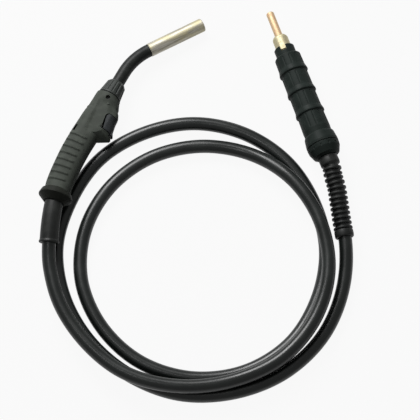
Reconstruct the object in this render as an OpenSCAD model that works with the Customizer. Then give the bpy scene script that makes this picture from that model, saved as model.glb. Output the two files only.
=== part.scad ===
// MIG welding torch with its cable and central plug, lying on its side. Millimetres, +Z up.
// The torch is drawn on its own centre plane, with the neck axis along +Y and the trigger towards +X,
// and is then laid down by at_torch(). The plug is drawn along its axis and laid down by at_plug().

/* [Gas nozzle and contact tip] */
// Length of the gas nozzle
nozzle_l = 90; // [70:1:110]
// Outside diameter of the gas nozzle
nozzle_d = 20.2; // [20:0.1:22]
// Wall thickness of the gas nozzle
nozzle_wall = 1.5; // [1:0.1:1.8]
// Distance from the nozzle's mouth back to the end of the contact tip
tip_recess = 9; // [4:0.5:14]
// Diameter of the contact tip
tip_d = 8; // [7:0.1:8.6]
// Diameter of the hole for the welding wire
wire_hole_d = 1.2; // [0.8:0.1:1.6]

/* [Neck] */
// Outside diameter of the insulating jacket on the neck
neck_d = 19; // [18:0.1:19.6]
// Diameter of the copper conductor tube inside the neck
conductor_d = 11; // [10:0.1:11.6]
// Bend of the neck in degrees
neck_angle = 33; // [20:1:45]
// Radius of the bend on the neck's axis
neck_bend_r = 92; // [70:1:110]
// Straight length of neck between the handle's front end and the bend
neck_straight = 47; // [34:1:70]
// Length of the fluted nut in front of the handle
nut_l = 26; // [22:0.5:32]
// Number of flutes round the nut
nut_flutes = 16; // [10:1:20]

/* [Handle] */
// Length of the moulded handle
handle_l = 173; // [165:1:190]
// Wall thickness of the handle shells
shell_wall = 2.5; // [2:0.1:3]
// Half width of the grip, from the back of the hand to the fingers
grip_half_w = 19.4; // [18.5:0.1:21]
// Half thickness of the grip, across the parting line
grip_half_t = 15.8; // [15:0.1:17.5]
// Number of raised ribs on the grip
rib_count = 8; // [4:1:8]
// Distance from one rib to the next
rib_pitch = 10.5; // [9:0.1:10.5]
// Height of a rib above the grip
rib_h = 0.9; // [0.4:0.1:1.2]
// Turn of the trigger when it is pressed, in degrees
trigger_travel = 4; // [2:0.5:4]
// Outside diameter of the locking ring at the handle's rear end
ring_d = 48.4; // [46:0.2:49]

/* [Cable] */
// Outside diameter of the cable
cable_d = 19.4; // [18:0.2:19.8]
// Wall thickness of the rubber sleeve behind the handle
sleeve_wall = 3.5; // [3.1:0.1:3.9]

/* [Plug] */
// Diameter of the plug's contact pin
pin_d = 11.5; // [10:0.1:12.5]
// Length of the pin in front of the brass body
pin_l = 42; // [35:1:50]
// Diameter of the brass body
body_d = 23; // [22:0.1:24]
// Largest diameter of the plug's grip, at the lips
grip_lip_d = 43; // [41.5:0.5:44]
// Length of the grip with its front collar
plug_grip_l = 147; // [140:1:155]
// Number of lips along the grip
grip_lips = 3; // [2:1:4]
// Number of finger flutes round the grip
grip_flutes = 12; // [8:1:14]
// Diameter of the plug's rear nut
rear_nut_d = 47.5; // [45:0.5:48]
// Number of ribs on the bend relief boot
boot_ribs = 13; // [9:1:14]
// Height of the boot's ribs
boot_rib_h = 2.2; // [1.5:0.1:2.4]

/* [Hidden] */
$fn = 48;

// ---- clearances
press = 0.02;    // radial gap of parts that are pressed or screwed together
slide = 0.04;    // radial gap of parts that slide or turn on each other
seat = 0.3;      // gap between faces of parts that move against each other
wiggle = 0.6;    // gap round the trigger in its opening

// ---- neck and nozzle
nozzle_r = nozzle_d / 2;
nozzle_bore_r = nozzle_r - nozzle_wall;
nozzle_seat_r = nozzle_bore_r + 0.5;
insulator_l = 34;
insulator_r = nozzle_seat_r - slide;
conductor_r = conductor_d / 2;
conductor_bore_r = 3;
conductor_tail = 73;
jacket_r = neck_d / 2;
jacket_tail = 23;
bend_start = handle_l + neck_straight;
diffuser_start = 2;
diffuser_r = conductor_r + 1;
diffuser_l = 44;
tip_thread_r = 3;
tip_thread_l = 7;
tip_end = nozzle_l - tip_recess;
tip_r = tip_d / 2;
liner_r = 2.2;
liner_bore_r = 1;

// ---- laying the torch down: its nozzle rests on the floor, its rear end on the cable
tilt = 4.9;
neck_end = [neck_bend_r * (1 - cos(neck_angle)), bend_start + neck_bend_r * sin(neck_angle)];
mouth = neck_end + nozzle_l * [sin(neck_angle), cos(neck_angle)];
rim_drop = nozzle_r * sqrt(1 - pow(sin(tilt) * cos(neck_angle), 2));
torch_place = [-24, -139.8, (mouth[1] - 0.8 * cos(neck_angle)) * sin(tilt) + rim_drop];
plug_place = [121.9, 262.9, 19.6];
plug_rise = 1.26;
plug_turn = -134;

// ---- handle
grip_l = 98;
housing = handle_l - 173;         // how far the trigger housing moves when the handle gets longer
rear_x = 8.6;                     // side step of the handle's rear end from the neck axis
rear_turn = 12.5;                 // slope of the handle's axis at its rear end
rear_r = 18.8;
spigot_r = 13;
spigot_l = 10;
nut_r = 17.3;
rib_first = 20;
rib_half = 1.9;
slot_x = 13.2;
slot_lean = 3.4;                  // how far the opening's lower end stands to the front of its upper end
slot_low = 118.6 + housing;
slot_high = 145 + housing;
slot_round = 6;
pivot = [17, 150.5 + housing];
pivot_r = 1.5;
tail_half = 6;
plunger_y = 120.5 + housing;
switch_x = 6.3;
switch_size = [7, 20, 6.4];
finger_x = 16.2;                  // inner face of the trigger's presser
wire_x = 12.5;
set_screw_at = [3, 165.6 + housing];

// ---- plug, measured from the pin's tip along the plug's axis
body_start = pin_l;
collar_start = body_start + 19.5;
collar_l = 15.5;
grip_start = collar_start + collar_l;
grip_end = collar_start + plug_grip_l;
nut_start = grip_end + 0.5;
plug_nut_l = 36;
boot_start = nut_start + plug_nut_l;
body_r = body_d / 2;
grip_r = grip_lip_d / 2 - 1.6;
grip_lip_r = grip_lip_d / 2;
boot_r = 11.4;
boot_collar_l = 17;
cuff_l = 16;
crimp_l = 36;
cable_r = cable_d / 2;
cable_gap = 0.3;                  // gap between the cable and the sleeves round it
sleeve_r = cable_r + sleeve_wall;
sleeve_neck_r = sleeve_r - 0.8;   // where the handle's rear wall grips it

// ---- cable: its route, from the connector in the handle to the crimp in the plug
cable_sides = 10;
ring_step = 25;
cable_head = [0, 84];
// inside the handle and the rubber sleeve, on the torch's own plane
route_in_torch = [
    [0, 84, 0], [0, 75, 0], [0, 66, 0], [1.1, 50, 0], [2.9, 33, 0], [5.3, 16, 0], [8.6, 0, 0],
    [15.2, -21.7, -1.3], [23.3, -42.9, -4.9], [32.4, -63.3, -10.2]];
// in loose turns over the floor
route_on_floor = [
    [20.5, -226, 29.1], [36, -246, 28.7], [53.5, -264.5, 28.8], [116, -303, 29],
    [189.5, -319, 30], [261.5, -303, 29.6], [323.5, -263, 27.8], [369.5, -204.5, 28],
    [386.5, -132.5, 28.8], [372.5, -59, 30.1], [329.5, 0.5, 30.1], [267, 39.5, 25.7],
    [196.5, 51.5, 12.9], [125.5, 30.5, 10], [70.5, -17, 9.7], [39.5, -84, 9.7],
    [39, -157.5, 9.7], [70, -225.5, 9.7], [127, -272, 9.7], [198, -292, 9.7], [271, -280, 9.7],
    [332, -239, 9.7], [370, -175, 9.7], [376, -101.5, 9.7], [356, -31.5, 9.7], [310.5, 26, 9.7],
    [247.5, 65.5, 9.7], [174, 77, 9.7], [103, 59, 9.7], [44.5, 12.5, 9.7], [7, -51, 9.7],
    [-0.7, -125, 9.7], [15, -197, 9.7], [58, -256, 9.7], [120, -297, 9.7], [193, -315, 9.7],
    [266.5, -307.5, 9.7], [331.5, -272, 9.7], [380.5, -216.5, 9.7], [405.5, -146.5, 9.8],
    [401.5, -72, 10.2]];
// through the boot
route_in_boot = [[374.2, -6.2, 14.6], [356.3, 18.9, 16.6], [342.4, 39, 19.4],
    [328.4, 58.9, 22.4], [317.7, 70.9, 23.9]];

// ---- functions
function unit(v) = v / norm(v);
function ease(t) = t <= 0 ? 0 : t >= 1 ? 1 : t * t * (3 - 2 * t);

function torch_point(p) = torch_place + [p[0], p[1] * cos(tilt) + p[2] * sin(tilt),
    -p[1] * sin(tilt) + p[2] * cos(tilt)];
function plug_point(s) = plug_place + s * [-sin(plug_turn) * cos(plug_rise),
    cos(plug_turn) * cos(plug_rise), sin(plug_rise)];

// slope of a smooth curve at point i of the list p, per millimetre of chord
function slope(p, i) = i == 0 ? unit(p[1] - p[0])
    : i == len(p) - 1 ? unit(p[i] - p[i - 1])
    : let (a = p[i] - p[i - 1], b = p[i + 1] - p[i])
      (b / norm(b) * norm(a) + a / norm(a) * norm(b)) / (norm(a) + norm(b));

// point at share t between points i and i + 1
function between(p, i, t) = let (l = norm(p[i + 1] - p[i]))
    (1 + 2 * t) * (1 - t) * (1 - t) * p[i] + t * (1 - t) * (1 - t) * l * slope(p, i)
    + t * t * (3 - 2 * t) * p[i + 1] + t * t * (t - 1) * l * slope(p, i + 1);

// points about step apart on the smooth curve through p, twice as close near both its ends
function along(p, step, ends = 0) = [for (i = [0 : len(p) - 2])
    let (near = i < ends || i > len(p) - 2 - ends,
        n = max(1, round(norm(p[i + 1] - p[i]) / step * (near ? 2 : 1))))
    for (k = [0 : n - 1]) between(p, i, k / n), p[len(p) - 1]];

// direction of the list of points c at point i
function heading(c, i) = unit(c[min(i + 1, len(c) - 1)] - c[max(i - 1, 0)]);

// ring of n points with radius r round point i, square to the curve, with a point at the bottom
function ring(c, i, r, n) = let (t = heading(c, i), side = unit(cross(t, [0, 0, 1])),
    up = cross(side, t))
    [for (k = [0 : n - 1]) let (a = 360 * k / n - 90) c[i] + r * (cos(a) * side + sin(a) * up)];

// running length of the list of points c
function lengths(c) = [for (i = 0, s = 0; i < len(c);
    s = s + (i < len(c) - 1 ? norm(c[i + 1] - c[i]) : 0), i = i + 1) s];

// value at x in a list of [x, value] rows, smoothly joined
function looked_up(x, rows, k) = let (
    i = max([for (j = [0 : len(rows) - 2]) x >= rows[j][0] ? j : 0]),
    d = rows[i + 1][0] - rows[i][0], t = min(1, max(0, (x - rows[i][0]) / d)),
    before = i == 0 ? rows[0] : rows[i - 1], after = i > len(rows) - 3 ? rows[i + 1] : rows[i + 2],
    m0 = (rows[i + 1][k] - before[k]) / (rows[i + 1][0] - before[0]) * d,
    m1 = (after[k] - rows[i][k]) / (after[0] - rows[i][0]) * d)
    (1 + 2 * t) * (1 - t) * (1 - t) * rows[i][k] + t * (1 - t) * (1 - t) * m0
    + t * t * (3 - 2 * t) * rows[i + 1][k] + t * t * (t - 1) * m1;

// triangles of a skin over m rings of n points each, in a closed loop of rings or with end caps
function skin_faces(m, n, loop) = concat(
    [for (i = [0 : m - (loop ? 1 : 2)]) for (j = [0 : n - 1])
        let (a = i * n + j, b = i * n + (j + 1) % n,
            c = ((i + 1) % m) * n + (j + 1) % n, d = ((i + 1) % m) * n + j)
        each [[a, b, c], [a, c, d]]],
    loop ? [] : [for (e = [0, (m - 1) * n]) for (j = [0 : n / 2 - 2])
        let (q = [e + j, e + j + 1, e + n - 2 - j, e + n - 1 - j])
        each e == 0 ? [[q[0], q[2], q[1]], [q[0], q[3], q[2]]]
            : [[q[0], q[1], q[2]], [q[0], q[2], q[3]]]]);

// skin over rings that run counter-clockwise for an eye that looks along the skin from its start
module skin(rings, loop = false) {
    polyhedron([for (r = rings) each r], skin_faces(len(rings), len(rings[0]), loop), 4);
}

// ---- placing
module at_torch() {
    translate(torch_place) rotate([-tilt, 0, 0]) children();
}

// +Y along the nozzle's axis, from the end of the neck
module at_nozzle() {
    at_torch() translate([neck_end[0], neck_end[1], 0]) rotate([0, 0, -neck_angle]) children();
}

// +Y along the handle's axis at its rear end
module at_rear() {
    at_torch() translate([rear_x, 0, 0]) rotate([0, 0, rear_turn]) children();
}

// +Y from the pin's tip towards the cable
module at_plug() {
    translate(plug_place) rotate([plug_rise, 0, plug_turn]) children();
}

// turned part: profile of [radius, distance along +Y]
module turned(profile) {
    rotate([-90, 0, 0]) rotate_extrude() polygon([for (p = profile) p]);
}

// straight round bar or tube along +Y
module tube_y(r, bore, y0, y1) {
    turned([[bore, y0], [r, y0], [r, y1], [bore, y1]]);
}

// ---- nozzle, tip and neck
module gas_nozzle() color([0.86, 0.86, 0.80]) at_nozzle()
    turned([[nozzle_seat_r, seat], [nozzle_r - 0.4, seat], [nozzle_r, seat + 0.5],
        [nozzle_r, nozzle_l - 0.8], [nozzle_r - 0.5, nozzle_l], [nozzle_bore_r + 0.4, nozzle_l],
        [nozzle_bore_r, nozzle_l - 0.6], [nozzle_bore_r, insulator_l + 4],
        [nozzle_seat_r, insulator_l + 3]]);

module nozzle_insulator() color([0.86, 0.82, 0.72]) at_nozzle()
    turned([[diffuser_r + press, 0], [insulator_r, 0], [insulator_r, 16], [insulator_r - 1.4, 16],
        [insulator_r - 1.4, 18], [insulator_r, 18], [insulator_r, insulator_l - 1],
        [insulator_r - 0.8, insulator_l], [diffuser_r + press, insulator_l]]);

module nozzle_clip() color([0.7, 0.7, 0.72]) at_nozzle()
    translate([0, 17, 0]) rotate([-90, 20, 0])
        rotate_extrude(angle = 325) translate([insulator_r - 0.72, 0]) circle(r = 0.66, $fn = 24);

module gas_diffuser() color([0.80, 0.62, 0.30]) at_nozzle() difference() {
    turned([[conductor_r + press, diffuser_start], [diffuser_r, diffuser_start],
        [diffuser_r, insulator_l + 1], [diffuser_r - 1, insulator_l + 1.6],
        [diffuser_r - 1, diffuser_start + diffuser_l], [tip_thread_r + press, diffuser_start + diffuser_l],
        [tip_thread_r + press, diffuser_start + diffuser_l - tip_thread_l],
        [conductor_bore_r, diffuser_start + diffuser_l - tip_thread_l],
        [conductor_bore_r, diffuser_start + 10], [conductor_r + press, diffuser_start + 10]]);
    for (k = [0 : 2]) translate([0, insulator_l + 2.8, 0]) rotate([0, 60 * k, 0])
        cylinder(r = 0.9, h = 2 * diffuser_r + 2, center = true, $fn = 24);
}

module contact_tip() color([0.80, 0.48, 0.32]) at_nozzle()
    turned([[wire_hole_d / 2, diffuser_start + diffuser_l - tip_thread_l + 0.2],
        [tip_thread_r, diffuser_start + diffuser_l - tip_thread_l + 0.2],
        [tip_thread_r, diffuser_start + diffuser_l], [tip_r, diffuser_start + diffuser_l],
        [tip_r, tip_end - 12], [tip_r - 1.2, tip_end - 0.6], [tip_r - 1.8, tip_end],
        [wire_hole_d / 2, tip_end]]);

// round tube that follows the neck: straight from y0, round the bend, and on by nose
module neck_tube(r, bore, y0, nose) {
    translate([0, bend_start, 0]) {
        tube_y(r, bore, y0 - bend_start, 0);
        translate([neck_bend_r, 0, 0]) mirror([1, 0, 0])
            rotate_extrude(angle = neck_angle) translate([neck_bend_r, 0]) difference() {
                circle(r = r);
                circle(r = bore);
            }
    }
    if (nose > 0) translate([neck_end[0], neck_end[1], 0]) rotate([0, 0, -neck_angle])
        tube_y(r - 0.02, bore + 0.02, -0.5, nose);
}

module neck_conductor() color([0.72, 0.45, 0.30]) at_torch()
    neck_tube(conductor_r, conductor_bore_r, handle_l - conductor_tail, diffuser_start + 9.8);

module neck_jacket() color([0.10, 0.11, 0.10]) at_torch()
    neck_tube(jacket_r, conductor_r + press, handle_l - jacket_tail, 0);

module wire_liner() color([0.55, 0.56, 0.58]) at_torch()
    neck_tube(liner_r, liner_bore_r, cable_head[1] + 2, diffuser_start + 30);

module neck_nut() color([0.22, 0.25, 0.22]) at_torch() translate([0, handle_l + seat, 0]) difference() {
    turned([[spigot_r + press, 0], [nut_r - 1.6, 0], [nut_r - 1.4, 1], [nut_r, 1.5], [nut_r - 3, nut_l - 4],
        [nut_r - 6, nut_l], [jacket_r + 0.1, nut_l], [jacket_r + 0.1, spigot_l + 0.5],
        [spigot_r + press, spigot_l + 0.5]]);
    for (k = [0 : nut_flutes - 1]) rotate([0, 360 * (k + 0.5) / nut_flutes, 0])
        translate([nut_r + 0.5, 4.2, 0]) rotate([-90, 0, atan(3 / (nut_l - 5.5))])
            cylinder(r = 1.8, h = nut_l + 2, $fn = 24);
}

module neck_set_screw() color([0.25, 0.26, 0.27]) at_torch()
    translate([set_screw_at[0], set_screw_at[1], 0]) difference() {
        translate([0, 0, jacket_r + 0.1]) cylinder(r = 2.4, h = 4.4, $fn = 32);
        translate([0, 0, jacket_r + 2.5]) cylinder(r = 1.4, h = 10, $fn = 6);
    }

// ---- handle
// rows: distance from the rear end, side step of the axis, half width, half thickness, roundness
stations = [
    [0, rear_x, rear_r, rear_r, 2],
    [10, 6.4, rear_r, rear_r - 1, 2.1],
    [grip_l * 0.2, 4.2, grip_half_w - 0.4, grip_half_t + 0.4, 2.3],
    [grip_l * 0.42, 1.3, grip_half_w - 0.1, grip_half_t, 2.4],
    [grip_l * 0.72, -1.2, grip_half_w + 0.2, grip_half_t, 2.4],
    [grip_l, -1.6, grip_half_w + 0.5, grip_half_t, 2.4],
    [handle_l - 61, -0.9, grip_half_w + 1, grip_half_t + 0.6, 2.3],
    [handle_l - 49, 1.2, grip_half_w + 3, grip_half_t + 1.8, 2.3],
    [handle_l - 39, 3.2, grip_half_w + 4.6, grip_half_t + 2.1, 2.2],
    [handle_l - 29, 5.2, grip_half_w + 6, grip_half_t + 2.2, 2.15],
    [handle_l - 22, 3.2, grip_half_w + 3.8, grip_half_t + 2.2, 2.1],
    [handle_l - 14, 1.4, grip_half_w + 1.5, grip_half_t + 2, 2.1],
    [handle_l - 5, -0.1, nut_r + 1.8, nut_r + 0.3, 2],
    [handle_l, -0.3, nut_r + 1.2, nut_r, 2],
    [handle_l + 5, -0.3, nut_r + 1.2, nut_r, 2]];

function axis_x(y) = looked_up(y, stations, 1);
function half_w(y) = looked_up(y, stations, 2);
function half_t(y) = looked_up(y, stations, 3);
function roundness(y) = looked_up(y, stations, 4);
function axis_slope(y) = let (a = max(0, y - 0.5), b = min(handle_l, y + 0.5))
    (axis_x(b) - axis_x(a)) / (b - a);

// height of the ribs at distance y from the rear and angle a round the grip
function rib_bump(y, a) = let (k = round((y - rib_first) / rib_pitch),
    off = abs(y - rib_first - k * rib_pitch))
    k < 0 || k >= rib_count ? 0
    : rib_h * (1 - ease((off - 0.7) / (rib_half - 0.8))) * ease((a - 62) / 14) * ease((156 - a) / 14);

// where the handle's skin is cut along its length: closely at the ribs, widely elsewhere
skin_cuts = concat([0, 3, 6, 10, 14],
    [for (k = [0 : rib_count - 1]) for (d = [-rib_half, -0.7, 0.7, rib_half]) rib_first + k * rib_pitch + d],
    [for (y = [rib_first + (rib_count - 1) * rib_pitch + 5.3 : 5.4 : handle_l - 2]) y], [handle_l]);
arc_steps = 12;

// point of the handle's section at y, angle a, pulled in by the wall w
function skin_point(y, a, w) = let (n = 2 / roundness(y), s = axis_slope(y), l = sqrt(1 + s * s),
    rx = half_w(y) - w + (w == 0 ? rib_bump(y, a) : 0), rz = half_t(y) - w + (w == 0 ? rib_bump(y, a) : 0),
    x = rx * sign(cos(a)) * pow(abs(cos(a)), n), z = rz * pow(abs(sin(a)), n))
    [axis_x(y) + x / l, y - x * s / l, z];

// the upper half of the handle's wall, as one skin of C-shaped rings
module half_wall() {
    skin([for (y = skin_cuts) concat(
        [for (i = [0 : arc_steps]) skin_point(y, 180 * i / arc_steps, 0)],
        [for (i = [arc_steps : -1 : 0]) skin_point(y, 180 * i / arc_steps, shell_wall)])]);
}

// half of a ring round +Y, on the +Z side
module half_ring(r, bore, y0, y1) {
    translate([0, y1, 0]) rotate([90, 0, 0]) linear_extrude(y1 - y0) difference() {
        circle(r = r);
        circle(r = bore);
        translate([-r - 1, -r - 1]) square([2 * r + 2, r + 1]);
    }
}

// outline of the opening for the trigger
module slot_outline() {
    hull() {
        translate([slot_x + slot_round, slot_high - slot_round]) circle(r = slot_round);
        translate([slot_x + slot_lean, slot_low]) square([28, 1]);
        translate([slot_x + 28, slot_high - 1]) square([4, 1]);
    }
}

// ledge under the trigger that the finger rests on, with a flat top that stands out of the grip
module finger_ledge() {
    translate([0, housing, 0]) hull() {
        linear_extrude(4.5)
            polygon([[10, 97.6], [18.9, 100.9], [34.4, 109.7], [35.2, 112.4], [33.6, 116], [28, 121],
                [12, 121]]);
        linear_extrude(11.5) polygon([[20, 115.6], [27, 121], [20, 122]]);
        linear_extrude(grip_half_t + 0.2) polygon([[0, 103.8], [13, 110.4], [18, 115], [18, 120], [0, 116]]);
    }
}

module half_handle() difference() {
    union() {
        half_wall();
        half_ring(spigot_r, jacket_r + 0.1, handle_l - 11.5, handle_l + spigot_l);
        half_ring(nut_r - 0.4, jacket_r + 0.1, handle_l - 11.5, handle_l - 0.2);
        translate([rear_x, 0, 0]) rotate([0, 0, rear_turn])
            half_ring(rear_r - 1, sleeve_neck_r + press, 0.4, 3.4);
        finger_ledge();
        translate([pivot[0], pivot[1], tail_half + 0.5]) cylinder(r = 3, h = 6.1);
        translate([7.6, handle_l - 15.9, 13]) cylinder(r = 1.9, h = 4.8, $fn = 32);
    }
    translate([0, 0, -1]) linear_extrude(40) slot_outline();
    translate([slot_x, slot_low - 3, -1]) cube([30, 10, tail_half + 1.6 + 1]);
    translate([-12, 97 + housing, -1]) cube([slot_x + 13, 32, 9.9]);
    translate([0, 90 + housing, -1]) cube([wire_x + 1.1, 20, 4.3]);
    translate([pivot[0], pivot[1], -1]) cylinder(r = pivot_r + press, h = 12);
    translate([-25, 101.5 + housing, 8]) cube([8, 9.5, 2.8]);
}

module handle_upper() color([0.26, 0.29, 0.26]) at_torch() difference() {
    half_handle();
    translate([set_screw_at[0], set_screw_at[1], 5]) cylinder(r = 2.45, h = 20);
    translate([set_screw_at[0], set_screw_at[1], 13]) cylinder(r = 3.1, h = 20);
}

module handle_lower() color([0.26, 0.29, 0.26]) at_torch() {
    mirror([0, 0, 1]) half_handle();
    for (y = [-7, 7]) translate([switch_x + 1.7, plunger_y + y, 0]) {
        translate([0, 0, -grip_half_t - 0.6]) cylinder(r = 1.9, h = grip_half_t + 0.6 - switch_size[2] / 2);
        translate([0, 0, -switch_size[2] / 2 - 1]) cylinder(r = 1.15, h = switch_size[2], $fn = 24);
    }
}

// ---- trigger and switch
function trigger_x(y) = looked_up(y - housing,
    [[119, 33.4], [124, 32.7], [129, 31.6], [138, 29.9], [145, 29.4]], 1);

// left side of the opening at y, and of the trigger, which needs room to swing
function slot_left(y) = let (round_y = slot_high - slot_round)
    y > round_y ? slot_x + slot_round - sqrt(max(0, slot_round * slot_round - pow(y - round_y, 2)))
    : slot_x + slot_lean * (round_y - y) / (round_y - slot_low);
function trigger_left(y) = slot_left(y) + wiggle - 0.1 + (pivot[1] - y) * sin(trigger_travel);
trigger_low = slot_low + wiggle + 10 * sin(trigger_travel);

// section of the trigger's cap: the handle's own roundness, cut off flat on the inside
function trigger_ring(y) = let (w = trigger_x(y) - axis_x(y), t = half_t(y) - 0.8, n = roundness(y),
    a = acos(pow((trigger_left(y) - axis_x(y)) / w, n / 2)))
    [for (i = [0 : 13]) let (b = a * (2 * i / 13 - 1))
        [axis_x(y) + w * pow(cos(b), 2 / n), y, t * sign(b) * pow(abs(sin(b)), 2 / n)]];

module trigger() color([0.16, 0.18, 0.17]) at_torch() difference() {
    union() {
        difference() {
            skin([for (y = [trigger_low, slot_low + 3.5, slot_low + 8, slot_low + 12.5, slot_low + 16.5,
                slot_low + 20.4, slot_high - 3.4, slot_high - 1.6, slot_high - wiggle]) trigger_ring(y)]);
            translate([0, 0, -9.5]) linear_extrude(19)
                polygon([[0, slot_low - 1], [finger_x + 6, slot_low - 1], [finger_x + 12.4, slot_low + 3],
                    [finger_x + 11, slot_low + 11], [finger_x + 2, slot_low + 16], [0, slot_low + 16]]);
        }
        translate([0, housing, -tail_half]) linear_extrude(2 * tail_half)
            polygon([[26, 125], [32.3, 125], [34, 121.6], [34.8, 119.6], [34.4, 118.3], [33.2, 117.7],
                [31.4, 118.7], [26.6, 122]]);
        translate([finger_x, plunger_y - 2.2, -2.4]) cube([13, 4, 4.8]);
        translate([0, 0, -tail_half + 0.5]) linear_extrude(2 * tail_half - 1) hull() {
            translate(pivot) circle(r = 3.4);
            translate([pivot[0] + 2, slot_high - 5]) circle(r = 3.4);
        }
    }
    translate([pivot[0], pivot[1], 0]) cylinder(r = pivot_r + slide, h = 40, center = true);
}

module trigger_pin() color([0.66, 0.67, 0.69]) at_torch()
    translate([pivot[0], pivot[1], 0]) cylinder(r = pivot_r, h = 21.6, center = true);

module switch_body() color([0.12, 0.12, 0.13]) at_torch() difference() {
    translate([switch_x, plunger_y - switch_size[1] / 2, -switch_size[2] / 2]) cube(switch_size);
    for (y = [-7, 7]) translate([switch_x + 1.7, plunger_y + y, 0])
        cylinder(r = 1.15 + press, h = 20, center = true, $fn = 24);
    translate([switch_x + 3, plunger_y, 0]) rotate([0, 90, 0]) cylinder(r = 1.2 + slide, h = 10);
}

module switch_plunger() color([0.75, 0.20, 0.16]) at_torch()
    translate([switch_x + 3 + 2.4, plunger_y, 0]) rotate([0, 90, 0])
        cylinder(r = 1.2, h = finger_x - seat - switch_x - 5.4);

module switch_terminals() color([0.80, 0.66, 0.34]) at_torch() for (z = [-1.8, 1.8])
    translate([wire_x - 1.4, plunger_y - switch_size[1] / 2 - 6, z - 1.1]) cube([0.6, 6, 2.2]);

// two wires from the switch back past the crimp to the cable's jacket
module switch_wires() color([0.12, 0.20, 0.45]) at_torch() for (z = [-1.8, 1.8])
    translate([0, 0, z]) {
        translate([wire_x, 0, 0]) tube_y(0.78, 0, cable_head[1] - 18, plunger_y - switch_size[1] / 2 - 1);
        translate([wire_x - 5, cable_head[1] - 18, 0]) mirror([0, 1, 0])
            rotate_extrude(angle = 58) translate([5, 0]) circle(r = 0.78);
    }

// ---- connector and cable entry
module power_connector() color([0.78, 0.62, 0.34]) at_torch() difference() {
    union() {
        translate([0, handle_l - conductor_tail + 10, 0]) rotate([90, 30, 0])
            cylinder(r = 8.4, h = 16, $fn = 6);
        tube_y(5.4, liner_r + 0.1, cable_head[1] + 1, handle_l - conductor_tail - 5);
    }
    tube_y(conductor_r + press, 0, handle_l - conductor_tail, handle_l - conductor_tail + 11);
    tube_y(liner_r + 0.1, 0, 60, handle_l - conductor_tail + 1);
}

module cable_crimp() color([0.74, 0.70, 0.62]) at_torch()
    turned([[cable_r + press, cable_head[1] - 18], [cable_r + 1.4, cable_head[1] - 18],
        [cable_r + 1.4, cable_head[1] + 1], [7, cable_head[1] + 4], [7, cable_head[1] + 7],
        [5.4 + press, cable_head[1] + 7], [5.4 + press, cable_head[1]], [cable_r + press, cable_head[1]]]);

module locking_ring() color([0.16, 0.18, 0.17]) at_rear()
    turned([[rear_r + 0.15, 7], [rear_r + 1.6, 7], [rear_r + 3.4, 5.4], [ring_d / 2, -0.8],
        [ring_d / 2, -2.4], [sleeve_r + 2, -10.4], [sleeve_r + 1, -10.4],
        [sleeve_r + 1, -0.2], [rear_r + 0.15, -0.2]]);

cable_route = concat([for (p = route_in_torch) torch_point(p)], route_on_floor, route_in_boot,
    [for (s = [boot_start + boot_collar_l, boot_start, boot_start - 22, boot_start - 44, boot_start - 62,
        boot_start - 80]) plug_point(s)]);
cable_line = along(cable_route, ring_step, 11);

// least distance between parts of the cable that are far apart along it, less its diameter
check_line = along(cable_route, 9);
check_run = lengths(check_line);
least_gap = min([for (i = [0 : len(check_line) - 1]) for (j = [i + 8 : 1 : len(check_line) - 1])
    check_run[j] - check_run[i] < 120 ? 999 : norm(check_line[i] - check_line[j])]) - cable_d;
echo(cable_length = check_run[len(check_run) - 1], rings = len(cable_line), least_gap = least_gap);

module cable() color([0.13, 0.14, 0.13])
    skin([for (i = [0 : len(cable_line) - 1]) ring(cable_line, i, cable_r, cable_sides)]);

// the point at distance s along the list of points c with running lengths run
function point_at(c, run, s) = let (i = max([for (k = [0 : len(run) - 2]) run[k] <= s ? k : 0]),
    t = (s - run[i]) / (run[i + 1] - run[i])) c[i] * (1 - t) + c[i + 1] * t;

// rings of a hose along c: outside by rows of [distance, radius], then back along the bore
function hose(c, run, rows, bore, n) = let (end = run[len(run) - 1],
    outside = [for (q = rows) point_at(c, run, q[0])],
    inside = [for (i = [0 : 8]) point_at(c, run, end * i / 8)])
    concat([for (i = [0 : len(rows) - 1]) ring(outside, i, rows[i][1], n)],
    [for (i = [8 : -1 : 0]) ring(inside, i, bore, n)]);

sleeve_line = along(concat([torch_point([rear_x - 8 * sin(rear_turn), 8 * cos(rear_turn), 0])],
    [for (i = [6 : 9]) torch_point(route_in_torch[i])]), 1);
sleeve_run = lengths(sleeve_line);
sleeve_l = sleeve_run[len(sleeve_run) - 1];

// its head and neck sit in the handle's rear wall, and its end has a lip
module cable_sleeve() color([0.15, 0.16, 0.15])
    skin(hose(sleeve_line, sleeve_run, concat(
        [[0, sleeve_r + 1], [0.4, sleeve_r + 1.4], [4.4, sleeve_r + 1.4], [4.42, sleeve_neck_r],
        [8.6, sleeve_neck_r], [8.8, sleeve_r]],
        [for (i = [1 : 7]) [8.8 + (sleeve_l - 13.8) * i / 7, sleeve_r]],
        [[sleeve_l - 4, sleeve_r + 1.1], [sleeve_l - 0.8, sleeve_r + 1.2], [sleeve_l, sleeve_r + 0.4]]),
        cable_r + cable_gap, 20), true);

// ---- plug
module plug_pin() color([0.85, 0.62, 0.42]) at_plug() turned(concat([[1.2, 0]],
    [for (a = [0 : 15 : 90]) [pin_d / 2 - 2.6 + 2.6 * sin(a), 2.6 - 2.6 * cos(a)]],
    [[pin_d / 2, body_start], [pin_d / 2 - 1, body_start], [pin_d / 2 - 1, body_start + 24],
    [1.2, body_start + 24]]));

module plug_body() color([0.87, 0.83, 0.66]) at_plug() {
    turned([[pin_d / 2 - 1 + press, body_start], [body_r - 2.6, body_start],
        [body_r - 0.6, body_start + 2.6], [body_r, body_start + 4.6], [body_r, grip_end - 58],
        [5, grip_end - 58], [5, body_start + 24.1], [pin_d / 2 - 1 + press, body_start + 24.1]]);
    rotate([0, 13, 0]) intersection() {
        translate([-3.8, body_start + 8, 0]) cube([7.6, 17.5, body_r + 2.4]);
        translate([0, body_start + 17.9, 0]) cylinder(r = 8.2, h = 40);
        tube_y(body_r + 2.4, body_r - 1.5, body_start, body_start + 40);
    }
}

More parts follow.
